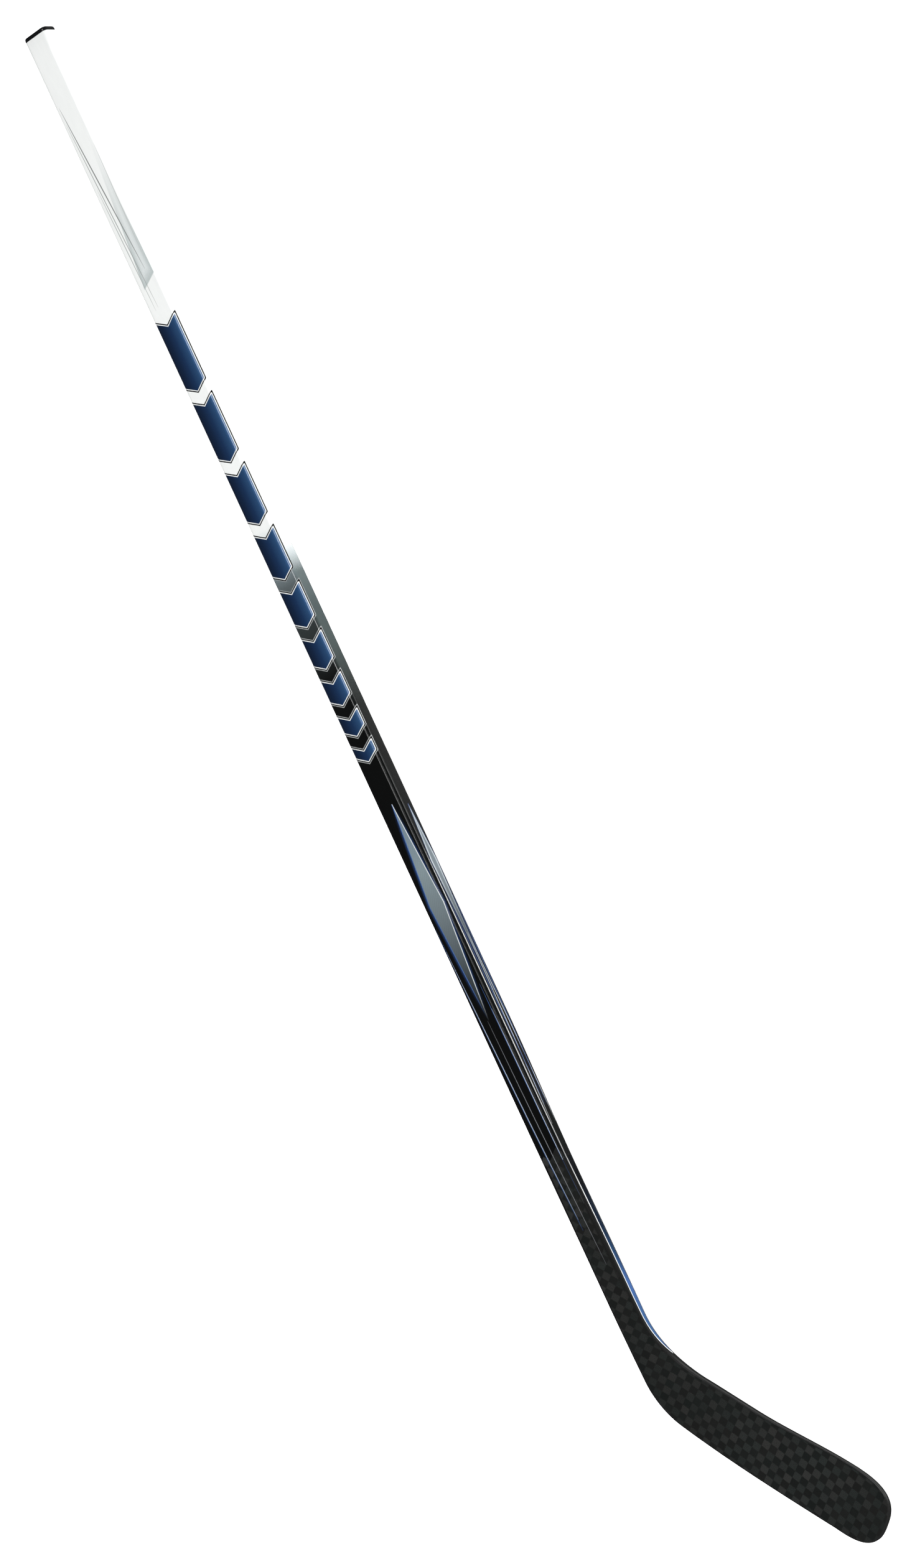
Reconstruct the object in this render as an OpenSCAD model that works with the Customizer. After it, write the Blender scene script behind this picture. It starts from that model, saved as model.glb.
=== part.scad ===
// Ice hockey stick lying on its back face, visible (forehand) face up.
// +X runs from the butt to the heel, +Y to the side the blade turns to, +Z up.
// The origin is under the middle of the whole stick. Sizes in millimetres.

/* [Shaft] */
// Distance from the butt end to the corner of the heel
stick_len = 1524; // [1400:1:1600]
// Width of the wide faces
shaft_w = 30; // [29:0.25:31]
// Thickness between the two wide faces
shaft_t = 20; // [19:0.25:21]
// Radius of the four long corners
corner_r = 5; // [4.6:0.1:5.2]
// Thickness of the inside ply of the wall
inner_ply = 0.5; // [0.4:0.05:0.6]
// Thickness of the lengthwise strips in the middle of the wall
strip_ply = 1; // [0.8:0.05:1.1]
// Thickness of the outside ply of the wall
outer_ply = 0.5; // [0.4:0.05:0.6]

/* [End cap] */
// Height of the cap that shows past the end of the shaft
cap_head = 4; // [3.5:0.1:8]
// Seam left between the cap and the end of the shaft
cap_seam = 0.3; // [0.25:0.05:0.5]
// Length of the plug inside the shaft
plug_len = 45; // [30:1:60]
// Gap between the plug and the inside of the shaft
plug_gap = 0.6; // [0.5:0.05:0.9]
// How far the three crush ribs stand out of the plug
rib_h = 0.3; // [0.1:0.05:0.3]
// Wall of the hollow plug
plug_wall = 2.2; // [1.6:0.1:2.6]

/* [Hosel] */
// Distance from the heel corner up to the joint of shaft and hosel
hosel_len = 279; // [270:1:300]
// Length of the tenon inside the shaft
tenon_len = 65; // [50:1:75]
// Thickness of the adhesive around the tenon
glue_t = 0.3; // [0.2:0.05:0.4]
// Thickness of the wrap on the flat sides of the tenon
wrap_t = 0.7; // [0.5:0.05:0.9]
// Width of the filled seam at the joint
seam_w = 2; // [1:0.25:3]
// Height of the visible face above the middle plane at the foot of the hosel
hosel_front = 7.3; // [6.5:0.1:8.5]
// Depth of the back face below the middle plane at the foot of the hosel
hosel_back = 5.5; // [5:0.1:8]
// Corner radius at the foot of the hosel
hosel_r = 2.5; // [2:0.1:4]

/* [Blade] */
// Angle that the blade turns away from the line of the shaft
turn = 47.5; // [45:0.5:49]
// Length from the heel corner to the tip of the toe, along the sole
blade_len = 263; // [258:0.5:285]
// Height of the blade behind the neck
blade_h = 59.8; // [56:0.2:61]
// Extra height that the top edge gains before the toe
toe_rise = 7.6; // [5:0.2:11]
// Bow of the sole at mid blade
rocker = 4.4; // [1:0.1:5]
// Radius of the heel
heel_r = 86; // [76:1:90]
// Radius of the neck on the inside of the turn
neck_r = 112; // [95:1:114]
// Squareness of the round toe, 2 is an ellipse
toe_n = 2.75; // [2:0.05:2.8]
// Thickness of the edge at the heel
edge_heel = 7.4; // [6.8:0.1:10]
// Thickness of the edge at the toe
edge_toe = 5; // [4.6:0.1:6.5]
// Rounding of the blade's edges
edge_r = 1.6; // [1:0.1:2]
// Extra thickness at half height of the blade
belly = 1.2; // [0:0.1:2]
// Angle of the curve that starts at the heel
heel_curve = 9.8; // [4:0.2:12]
// Further angle of the curve towards the toe
toe_curve = 4.5; // [0:0.2:8]
// Angle by which the top of the face leans back
face_open = 3.2; // [0:0.2:4]

/* [Laminate] */
// Thickness of the two face skins
skin_t = 1; // [0.8:0.05:1.2]
// Width of the edge bands
edge_w = 5.5; // [5.3:0.1:6.5]
// Width of the bridge strip between the foam cores
bridge_w = 2; // [1.5:0.1:2.5]

/* [Hidden] */

hw = shaft_w/2;
wall = inner_ply + strip_ply + outer_ply;
cu = cos(turn);
su = sin(turn);
x_joint = stick_len - hosel_len;          // joint of shaft and hosel
x_fan = stick_len - 129;                  // the sections start to turn here
u_bend = -40;                             // the blade leaves the flat plane here
vc = 0.551*blade_h;                       // height of the tip of the toe
toe_a = 48.5;                             // length of the round toe
u_toe = blade_len - toe_a;

// smooth step from 0 to 1
function sm(x) = let (t = max(0, min(1, x))) t*t*(3 - 2*t);

// half thickness to the front and to the back, and corner radius, along the shaft and hosel
function front(x) = shaft_t/2 + (hosel_front - shaft_t/2)*sm((x - stick_len + 344)/215);
function back(x) = shaft_t/2 + (hosel_back - shaft_t/2)*sm((x - stick_len + 434)/190);
function crn(x) = corner_r + (hosel_r - corner_r)*sm((x - stick_len + 344)/215);

// outline of the blade laid flat: u along the sole from the heel corner, v up from the sole
function sole(u) = rocker*(pow((u - 138)/118, 2) - 1);
function top(u) = blade_h + toe_rise*sm((u - 96)/128);
function edge(u) = edge_heel + (edge_toe - edge_heel)*pow(sm(u/300), 0.8);
function flat(u, v) = [stick_len + u*cu - v*su, -hw + u*su + v*cu];

// bend of the blade out of the flat plane: angle, then its sums along u
function psi(u) = heel_curve*sm((u + 40)/100) + toe_curve*sm((u - 100)/190);
function tau(u) = face_open*sm((u + 40)/70);
bend = [for (i = 0, u = u_bend, b = u_bend, z = 0; i <= 170;
             b = b + 2*cos(psi(u + 1)), z = z + 2*sin(psi(u + 1)), u = u + 2, i = i + 1) [u, b, z]];
bend_b = [for (r = bend) [r[0], r[1]]];
bend_z = [for (r = bend) [r[0], r[2]]];

// a point of the flat outline, w above the middle plane, bent to its place
function bent(xy, w) =
    let (dx = xy[0] - stick_len, dy = xy[1] + hw, u = dx*cu + dy*su, v = dy*cu - dx*su,
         b = u < u_bend ? u : lookup(u, bend_b), z = u < u_bend ? 0 : lookup(u, bend_z),
         p = psi(u), t = tau(u), n = [-sin(p)*cu, -sin(p)*su, cos(p)], ev = [-su, cu, 0])
    [stick_len + b*cu, -hw + b*su, z] + v*(cos(t)*ev - sin(t)*n) + w*(sin(t)*ev + cos(t)*n);

// ---- stations from the joint to the toe ----
// a station: [outer point, direction across, length across, e1, e2, front, back, corner, belly]
function station(o, i, f, b, r, bl, in = edge_w) =
    let (l = norm(i - o)) [o, (i - o)/l, l, in, l - in, f, b, r, bl];

// heel side and neck side of the turn, by their share of the way round
vo = sole(0.5*(38 + 42));
ho_x = stick_len - vo/su - heel_r*tan(turn/2);
ni_x = stick_len + (shaft_w*cu - blade_h)/su - neck_r*tan(turn/2);
u_fan = 3 + max(heel_r*tan(turn/2) - vo*cu/su,
                (shaft_w*cu - blade_h)*cu/su + shaft_w*su + neck_r*tan(turn/2));
function way(d, x0, y0, r, xa) =
    let (l1 = xa - x0, l2 = r*turn*PI/180, a = (d - l1)/r*180/PI)
    d < l1 ? [x0 + d, y0]
    : d < l1 + l2 ? [xa + r*sin(a), y0 + r - r*cos(a)]
    : [xa + r*su, y0 + r - r*cu] + (d - l1 - l2)*[cu, su];
function u_of(p) = (p[0] - stick_len)*cu + (p[1] + hw)*su;
function way_len(x0, y0, r, xa) =
    let (l1 = xa - x0, l2 = r*turn*PI/180) l1 + l2 + u_fan - u_of([xa + r*su, y0 + r - r*cu]);

n_hosel = 12;
n_fan = 18;
n_blade = 14;
xs_hosel = [for (k = [0:n_hosel]) x_joint + seam_w + (x_fan - x_joint - seam_w)*k/n_hosel];
st_hosel = [for (x = xs_hosel) station([x, -hw], [x, hw], front(x), back(x), crn(x), 0)];
st_fan = [for (k = [1:n_fan]) let (f = k/n_fan, g = sm(f), h = edge(u_fan)/2)
    station(way(f*way_len(x_fan, -hw, heel_r, ho_x), x_fan, -hw, heel_r, ho_x),
            way(f*way_len(x_fan, hw, neck_r, ni_x), x_fan, hw, neck_r, ni_x),
            hosel_front*(1 - g) + h*g, hosel_back*(1 - g) + h*g, hosel_r*(1 - g) + edge_r*g, belly*g)];
st_blade = [for (k = [1:n_blade]) let (u = u_fan + (u_toe - u_fan)*k/n_blade)
    station(flat(u, sole(u)), flat(u, top(u)), edge(u)/2, edge(u)/2, edge_r, belly*(1 - 0.5*k/n_blade))];

// the round toe: inner and outer outline at angle a, below and above the tip
toe_angles = [75, 62, 50, 40, 31, 23, 16, 9];
function ce(a) = pow(cos(a), 2/toe_n);
function se(a) = pow(sin(a), 2/toe_n);
function toe_uv(a, side, in) = [u_toe + (toe_a - in)*ce(a),
    side < 0 ? vc - (vc - sole(u_toe) - in)*se(a) : vc + (top(u_toe) - vc - in)*se(a)];
st_toe = [for (a = toe_angles)
    let (o = toe_uv(a, -1, edge_w), i = toe_uv(a, 1, edge_w), h = edge(o[0])/2)
    station(flat(o[0], o[1]), flat(i[0], i[1]), h, h, edge_r,
            0.5*belly*(sin(a) - sin(9))/(1 - sin(9)), 0)];

st_long = concat(st_hosel, st_fan, st_blade);
st_all = concat(st_long, st_toe);
i_fan = n_hosel;
i_blade = n_hosel + n_fan;
i_toe = n_hosel + n_fan + n_blade;
i_tenon = 3;
function part(a, b) = [for (k = [a:b]) st_all[k]];

// ---- place of the origin, from the outermost points ----
toe_rim = [for (side = [-1, 1], a = concat([90, 0], toe_angles)) toe_uv(a, side, 0)];
toe_pts = [for (p = toe_rim, s = [-1, 1]) bent(flat(p[0], p[1]), s*(edge(p[0])/2 - edge_r))];
org = [max([for (p = toe_pts) p[0]])/2, (max([for (p = toe_pts) p[1]]) - hw)/2, -shaft_t/2];

// ---- sections ----
function at(st, e, w) = bent(st[0] + st[1]*e, w) - org;
function share(st, j) = let (m = bridge_w/2/(st[4] - st[3])) [0, 1/6, 1/3, 0.5 - m, 0.5 + m, 2/3, 5/6, 1][j];
function across(st, j) = st[3] + (st[4] - st[3])*share(st, j);
function half(st, j, side) = st[side > 0 ? 5 : 6] + st[8]*4*share(st, j)*(1 - share(st, j));

// slab between two depths below the faces, from column a to column b
function slab(st, a, b, hi, lo) = concat(
    [for (j = [b:-1:a]) at(st, across(st, j), hi(st, j))],
    [for (j = [a:b]) at(st, across(st, j), lo(st, j))]);
function slab_flags(a, b) = concat([for (j = [a:1:b - 1]) 1], [1], [for (j = [a:1:b - 1]) 0], [0]);
f_out = function (st, j) half(st, j, 1);
f_in = function (st, j) half(st, j, 1) - skin_t;
b_in = function (st, j) -half(st, j, -1) + skin_t;
b_out = function (st, j) -half(st, j, -1);

// edge band: outline of the rounded edge, then the side that meets skins and core
arc_a = [0, 18, 36, 54, 72, 90];
function rim(f, b, r, w) = concat([[w, f]],
    [for (a = arc_a) [r*(1 - sin(a)), f - r*(1 - cos(a))]],
    [for (i = [5:-1:0]) [r*(1 - sin(arc_a[i])), -b + r*(1 - cos(arc_a[i]))]],
    [[w, -b], [w, -b + skin_t], [w, f - skin_t]]);
function band_low(st) = [for (q = rim(st[5], st[6], st[7], edge_w)) at(st, q[0], q[1])];
function band_high(st) = let (q = rim(st[5], st[6], st[7], edge_w))
    [for (i = [len(q) - 1:-1:0]) at(st, st[2] - q[i][0], q[i][1])];
function band_toe(o, i, h) = let (a = flat(o[0], o[1]), d = flat(i[0], i[1]) - a, l = norm(d))
    [for (q = rim(h, h, edge_r, l)) bent(a + d*q[0]/l, q[1]) - org];
n_rim = 16;
flags_low = [for (j = [0:n_rim - 1]) 0];
flags_high = [for (j = [0:n_rim - 1]) j < 2 || j == n_rim - 1 ? 1 : 0];

// ring of the shaft, o inside its surface
function ring(x, o) =
    let (r = crn(x) - o, f = front(x) - crn(x), b = back(x) - crn(x), y = hw - crn(x),
         c = [[y, f, 0], [-y, f, 90], [-y, -b, 180], [y, -b, 270]])
    [for (q = c, i = [0:5]) [x, q[0] + r*cos(q[2] + 18*i), q[1] + r*sin(q[2] + 18*i)] - org];

// ---- solids from sections ----
// end faces: a fan, a strip between two paired sides, or the rounded edge of a band
function fan_ends(p) = [for (j = [1:p - 2]) [0, j, j + 1]];
function strip_ends(p) = [for (i = [0:p/2 - 2]) each [[i, i + 1, p - 2 - i], [i, p - 2 - i, p - 1 - i]]];
ends_low = concat([[0, 1, 15], [15, 1, 14], [14, 1, 13], [13, 1, 12]],
                  [for (i = [1:5]) each [[i, i + 1, 13 - i], [13 - i, i + 1, 12 - i]]]);
ends_high = [for (t = ends_low) [15 - t[2], 15 - t[1], 15 - t[0]]];
function loft_faces(m, p, flags, ends) = concat(
    [for (k = [0:m - 2], j = [0:p - 1])
        let (a = k*p + j, b = k*p + (j + 1)%p, c = b + p, d = a + p)
        each (flags[j] == 0 ? [[a, c, b], [a, d, c]] : [[a, d, b], [b, d, c]])],
    ends, [for (t = ends) [t[2], t[1], t[0]] + (m - 1)*p*[1, 1, 1]]);
module loft(s, flags, ends) {
    polyhedron([for (q = s) each q], loft_faces(len(s), len(s[0]), flags, ends), convexity = 12);
}
module ring_loft(xo) {
    loft([for (q = xo) ring(q[0], q[1])], [for (j = [0:23]) 0], fan_ends(24));
}
// tube between two offsets at the stations xs
module tube(xs, oa, ob) {
    m = len(xs);
    p = 24;
    n = m*p;
    polyhedron(concat([for (x = xs) each ring(x, oa)], [for (x = xs) each ring(x, ob)]),
        concat(
            [for (k = [0:m - 2], j = [0:p - 1])
                let (a = k*p + j, b = k*p + (j + 1)%p, c = b + p, d = a + p)
                each [[a, c, b], [a, d, c], [n + a, n + b, n + c], [n + a, n + c, n + d]]],
            [for (j = [0:p - 1]) let (a = j, b = (j + 1)%p) each [[a, b, n + b], [a, n + b, n + a]]],
            [for (j = [0:p - 1]) let (a = n - p + j, b = n - p + (j + 1)%p)
                each [[a, n + b, b], [a, n + a, n + b]]]),
        convexity = 12);
}
// part of the wall between two offsets, along ring points i0 to i1
module wall_part(xs, oa, ob, ids) {
    q = len(ids);
    loft([for (x = xs) let (a = ring(x, oa), b = ring(x, ob))
            concat([for (i = ids) a[i]], [for (i = [q - 1:-1:0]) b[ids[i]]])],
         concat([for (i = [1:q - 1]) 0], [0], [for (i = [1:q - 1]) 1], [0]), strip_ends(2*q));
}

// stations of the shaft: few where it is straight, close together where it thins
step = tenon_len/5;
x_open = cap_head + cap_seam;
xs_shaft = concat([for (k = [0:6]) x_open + (x_joint - 12*step - x_open)*k/7],
                  [for (k = [12:-1:0]) x_joint - k*step]);
xs_tenon = [for (k = [5:-1:0]) x_joint - k*step];

// sections of the tenon's core, from inside the shaft into the hosel
tenon_in = wall + glue_t + wrap_t;
function tenon_st(x, o) = station([x, -hw], [x, hw], front(x) + skin_t - o, back(x) + skin_t - o, crn(x), 0);
tenon_sections = concat([for (x = xs_tenon) slab(tenon_st(x, tenon_in), 0, 7, f_in, b_in)],
                        [for (st = part(0, i_tenon)) slab(st, 0, 7, f_in, b_in)]);
module tenon_solid(extra = 0) {
    e = extra > 0 ? [slab(tenon_st(x_joint - tenon_len - extra, tenon_in), 0, 7, f_in, b_in)] : [];
    loft(concat(e, tenon_sections), slab_flags(0, 7), strip_ends(16));
}

// ---- pieces ----
module end_cap() {
    color([0.08, 0.08, 0.09]) difference() {
        union() {
            ring_loft([[0, 1.5], [0.25, 0.8], [0.7, 0.3], [1.4, 0.05], [2.2, 0], [cap_head, 0]]);
            o = wall + plug_gap;
            ring_loft(concat([[2.5, o]],
                [for (k = [0:2]) let (x = cap_head + plug_len*(0.15 + 0.3*k))
                    each [[x, o], [x + 0.6, o - rib_h], [x + 3.4, o - rib_h], [x + 4, o]]],
                [[cap_head + plug_len - 1.2, o], [cap_head + plug_len, o + 0.8]]));
        }
        ring_loft([for (x = [cap_head + 3, cap_head + plug_len + 1]) [x, wall + plug_gap + plug_wall]]);
    }
}
module shaft_outer_ply() { color([0.92, 0.93, 0.94]) tube(xs_shaft, 0, outer_ply); }
module shaft_wide_strips() {
    color([0.2, 0.2, 0.22]) {
        wall_part(xs_shaft, outer_ply, outer_ply + strip_ply, [5, 6]);
        wall_part(xs_shaft, outer_ply, outer_ply + strip_ply, [17, 18]);
    }
}
module shaft_edge_channels() {
    color([0.26, 0.26, 0.28]) {
        wall_part(xs_shaft, outer_ply, outer_ply + strip_ply, [for (i = [6:17]) i]);
        wall_part(xs_shaft, outer_ply, outer_ply + strip_ply, [for (i = [18:29]) i%24]);
    }
}
module shaft_inner_ply() { color([0.16, 0.16, 0.17]) tube(xs_shaft, outer_ply + strip_ply, wall); }
module tenon_glue() { color([0.85, 0.75, 0.4]) tube(xs_tenon, wall, wall + glue_t); }
module tenon_wrap() {
    color([0.14, 0.14, 0.15]) difference() {
        ring_loft([for (x = xs_tenon) [x, wall + glue_t]]);
        tenon_solid(1);
    }
}
module tenon_core() { color([0.75, 0.62, 0.42]) tenon_solid(); }
module seam_filler() {
    color([0.1, 0.1, 0.11]) difference() {
        ring_loft([[x_joint, 0], [x_joint + seam_w, 0]]);
        tenon_solid();
    }
}
module core(a, b, ja, jb) {
    loft([for (st = part(a, b)) slab(st, ja, jb, f_in, b_in)], slab_flags(ja, jb), strip_ends(2*(jb - ja + 1)));
}
module hosel_core() { color([0.9, 0.88, 0.78]) core(i_tenon, i_fan, 0, 7); }
module heel_core() { color([0.86, 0.84, 0.74]) core(i_fan, i_blade, 0, 7); }
module blade_core_lower() { color([0.9, 0.88, 0.78]) core(i_blade, i_toe, 0, 3); }
module core_bridge() { color([0.12, 0.12, 0.13]) core(i_blade, i_toe, 3, 4); }
module blade_core_upper() { color([0.86, 0.84, 0.74]) core(i_blade, i_toe, 4, 7); }
module toe_core() { color([0.82, 0.8, 0.7]) core(i_toe, len(st_all) - 1, 0, 7); }
module forehand_skin() {
    color([0.13, 0.14, 0.14]) loft([for (st = st_all) slab(st, 0, 7, f_out, f_in)], slab_flags(0, 7),
                                  strip_ends(16));
}
module backhand_skin() {
    color([0.11, 0.12, 0.12]) loft([for (st = st_all) slab(st, 0, 7, b_in, b_out)], slab_flags(0, 7),
                                  strip_ends(16));
}
module bottom_edge_band() {
    color([0.1, 0.1, 0.1]) loft([for (st = st_long) band_low(st)], flags_low, ends_low);
}
module top_edge_band() {
    color([0.16, 0.25, 0.45]) loft([for (st = st_long) band_high(st)], flags_high, ends_high);
}
module toe_band() {
    round_toe = concat([90], toe_angles);
    n = len(round_toe) - 1;
    tip = toe_uv(9, -1, edge_w);
    color([0.1, 0.1, 0.1]) loft(concat(
        [for (a = round_toe) let (i = toe_uv(a, -1, edge_w)) band_toe(toe_uv(a, -1, 0), i, edge(i[0])/2)],
        [band_toe([blade_len, vc], [tip[0], (tip[1] + toe_uv(9, 1, edge_w)[1])/2], edge(tip[0])/2)],
        [for (k = [n:-1:0]) let (a = round_toe[k], i = toe_uv(a, 1, edge_w))
            band_toe(toe_uv(a, 1, 0), i, edge(i[0])/2)]), flags_low, ends_low);
}

end_cap();
shaft_outer_ply();
shaft_wide_strips();
shaft_edge_channels();
shaft_inner_ply();
tenon_core();
tenon_wrap();
tenon_glue();
seam_filler();
hosel_core();
heel_core();
blade_core_lower();
core_bridge();
blade_core_upper();
toe_core();
forehand_skin();
backhand_skin();
bottom_edge_band();
top_edge_band();
toe_band();
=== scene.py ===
# Ice hockey stick: the visible skins, bands, painted tube and butt cap as fine meshes around the fixed frame.
# Lengths are in millimetres in the stick's own lines (butt end at x = 0, middle of the shaft at y = z = 0)
# and go to metres in the shared frame when a mesh is made.
import math

import bpy
import numpy as np
from mathutils import Matrix, Vector


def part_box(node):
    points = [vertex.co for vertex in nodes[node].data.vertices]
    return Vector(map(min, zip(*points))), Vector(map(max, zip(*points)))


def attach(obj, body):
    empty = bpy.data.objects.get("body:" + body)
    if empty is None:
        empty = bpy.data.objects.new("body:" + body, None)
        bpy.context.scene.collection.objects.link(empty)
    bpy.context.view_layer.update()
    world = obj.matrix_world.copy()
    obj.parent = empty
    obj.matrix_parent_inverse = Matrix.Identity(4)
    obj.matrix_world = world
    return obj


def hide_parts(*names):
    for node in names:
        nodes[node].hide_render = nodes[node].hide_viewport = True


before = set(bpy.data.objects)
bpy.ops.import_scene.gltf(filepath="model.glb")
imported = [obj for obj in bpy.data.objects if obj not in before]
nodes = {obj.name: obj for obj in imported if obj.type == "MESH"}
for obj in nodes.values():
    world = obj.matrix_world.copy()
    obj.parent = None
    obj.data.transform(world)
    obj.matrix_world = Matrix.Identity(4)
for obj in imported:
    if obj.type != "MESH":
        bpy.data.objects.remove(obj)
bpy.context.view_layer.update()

# ---------------------------------------------------------------- shape of the stick
LEN, HW = 1524.0, 15.0
TURN = math.radians(47.5)
CU, SU = math.cos(TURN), math.sin(TURN)
HEAD, X_OPEN, X_JOINT, SEAM, X_FAN = 4.0, 4.3, 1245.0, 2.0, 1395.0
HEEL_R, NECK_R, BLADE_H = 86.0, 112.0, 59.8
EDGE_W, EDGE_R, BELLY, SKIN = 5.5, 1.6, 1.2, 1.0
TOE_A, BLADE_LEN, TOE_N = 48.5, 263.0, 2.75
U_TOE, VC = BLADE_LEN - TOE_A, 0.551 * BLADE_H
WALL, OUTER_PLY = 2.0, 0.5

tube_lo, tube_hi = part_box("shaft_outer_ply")
cap_lo, cap_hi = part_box("end_cap")
ORG = np.array([-1000 * cap_lo.x, -500 * (tube_lo.y + tube_hi.y), -10.0])


def sm(x):
    t = np.clip(x, 0.0, 1.0)
    return t * t * (3 - 2 * t)


def front(x):
    return 10 - 2.7 * sm((x - 1180) / 215)


def back(x):
    return 10 - 4.5 * sm((x - 1090) / 190)


def crn(x):
    return 5 - 2.5 * sm((x - 1180) / 215)


def sole(u):
    return 4.4 * (((u - 138) / 118) ** 2 - 1)


def top(u):
    return BLADE_H + 7.6 * sm((u - 96) / 128)


def edge(u):
    return 7.4 - 2.4 * sm(u / 300) ** 0.8


def flat(u, v):
    return np.stack([LEN + u * CU - v * SU, -HW + u * SU + v * CU], -1)


def psi(u):
    return np.radians(9.8 * sm((u + 40) / 100) + 4.5 * sm((u - 100) / 190))


def tau(u):
    return np.radians(3.2 * sm((u + 40) / 70))


BEND_U = np.arange(-40.0, 300.01, 0.25)
BEND_B = -40 + np.concatenate([[0], np.cumsum(0.25 * np.cos(psi(BEND_U[:-1] + 0.125)))])
BEND_Z = np.concatenate([[0], np.cumsum(0.25 * np.sin(psi(BEND_U[:-1] + 0.125)))])


def bent(xy, w):
    """Flat outline points xy, w above the middle plane, bent to their place."""
    dx, dy = xy[..., 0] - LEN, xy[..., 1] + HW
    u, v = dx * CU + dy * SU, dy * CU - dx * SU
    b = np.where(u < -40, u, np.interp(u, BEND_U, BEND_B))
    z = np.where(u < -40, 0.0, np.interp(u, BEND_U, BEND_Z))
    p, t = psi(u), tau(u)
    n = np.stack([-np.sin(p) * CU, -np.sin(p) * SU, np.cos(p)], -1)
    ev = np.array([-SU, CU, 0.0])
    base = np.stack([LEN + b * CU, -HW + b * SU, z], -1)
    ct, st = np.cos(t)[..., None], np.sin(t)[..., None]
    return base + v[..., None] * (ct * ev - st * n) + np.asarray(w)[..., None] * (st * ev + ct * n)


VO = sole(40.0)
HEEL_T, NECK_T = HEEL_R * math.tan(TURN / 2), NECK_R * math.tan(TURN / 2)
HO_X = LEN - VO / SU - HEEL_T
NI_X = LEN + (2 * HW * CU - BLADE_H) / SU - NECK_T
U_FAN = 3 + max(HEEL_T - VO * CU / SU, (2 * HW * CU - BLADE_H) * CU / SU + 2 * HW * SU + NECK_T)


def way(share, y0, r, xa):
    """Points by their share of the way round the heel or the neck."""
    l1, l2 = xa - X_FAN, r * TURN
    ex, ey = xa + r * SU, y0 + r - r * CU
    full = l1 + l2 + U_FAN - ((ex - LEN) * CU + (ey + HW) * SU)
    d = share * full
    a, rest = (d - l1) / r, d - l1 - l2
    x = np.where(d < l1, X_FAN + d, np.where(d < l1 + l2, xa + r * np.sin(a), ex + rest * CU))
    y = np.where(d < l1, y0, np.where(d < l1 + l2, y0 + r - r * np.cos(a), ey + rest * SU))
    return np.stack([x, y], -1)


def toe_uv(a, side, inset):
    ce, se = np.cos(a) ** (2 / TOE_N), np.sin(a) ** (2 / TOE_N)
    u = U_TOE + (TOE_A - inset) * ce
    if side < 0:
        return u, VC - (VC - sole(U_TOE) - inset) * se
    return u, VC + (top(U_TOE) - VC - inset) * se


def eased(line, centre, reach):
    """A line of points with the corner at one index eased over its neighbours."""
    k = np.arange(len(line))
    out = line.copy()
    for _ in range(60):
        out[1:-1] += 0.5 * (0.5 * (out[:-2] + out[2:]) - out[1:-1])
    w = np.exp(-(((k - centre) / reach) ** 2))[:, None]
    return line * (1 - w) + out * w


# sections from the joint to the start of the toe, then the round toe
NH, NF, NB, NTOE = 40, 70, 80, 44
xs = np.linspace(X_JOINT + SEAM, X_FAN, NH + 1)
share_f = np.arange(1, NF + 1) / NF
g_f = sm(share_f)
h_f = edge(U_FAN) / 2
ub = U_FAN + (U_TOE - U_FAN) * np.arange(1, NB + 1) / NB
st_o = np.concatenate([np.stack([xs, 0 * xs - HW], -1), way(share_f, -HW, HEEL_R, HO_X), flat(ub, sole(ub))])
st_i = np.concatenate([np.stack([xs, 0 * xs + HW], -1), way(share_f, HW, NECK_R, NI_X), flat(ub, top(ub))])
st_o = eased(st_o, NH + NF, 9)
st_f = np.concatenate([front(xs), 7.3 * (1 - g_f) + h_f * g_f, edge(ub) / 2])
st_b = np.concatenate([back(xs), 5.5 * (1 - g_f) + h_f * g_f, edge(ub) / 2])
st_r = np.concatenate([crn(xs), 2.5 * (1 - g_f) + EDGE_R * g_f, 0 * ub + EDGE_R])
st_l = np.concatenate([0 * xs, BELLY * g_f, BELLY * (1 - 0.5 * np.arange(1, NB + 1) / NB)])
PROUD = 0.1
proud = PROUD * np.concatenate([0 * xs, sm((share_f - 0.35) / 0.4), edge(ub) / edge(U_FAN)])
toe_a = np.radians(np.linspace(90, 9, NTOE + 1))
toe_lo = np.stack(toe_uv(toe_a, -1, EDGE_W), -1)
toe_hi = np.stack(toe_uv(toe_a, 1, EDGE_W), -1)
toe_h = edge(toe_lo[:, 0]) / 2
toe_l = 0.5 * BELLY * (np.sin(toe_a) - math.sin(math.radians(9))) / (1 - math.sin(math.radians(9)))


# ---------------------------------------------------------------- meshes
def run(points):
    """Length along a line of points."""
    return np.concatenate([[0], np.cumsum(np.linalg.norm(np.diff(points, axis=0), axis=-1))])


def strip_caps(m):
    return [(i, i + 1, m - 2 - i, m - 1 - i) for i in range(m // 2 - 1)]


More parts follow.
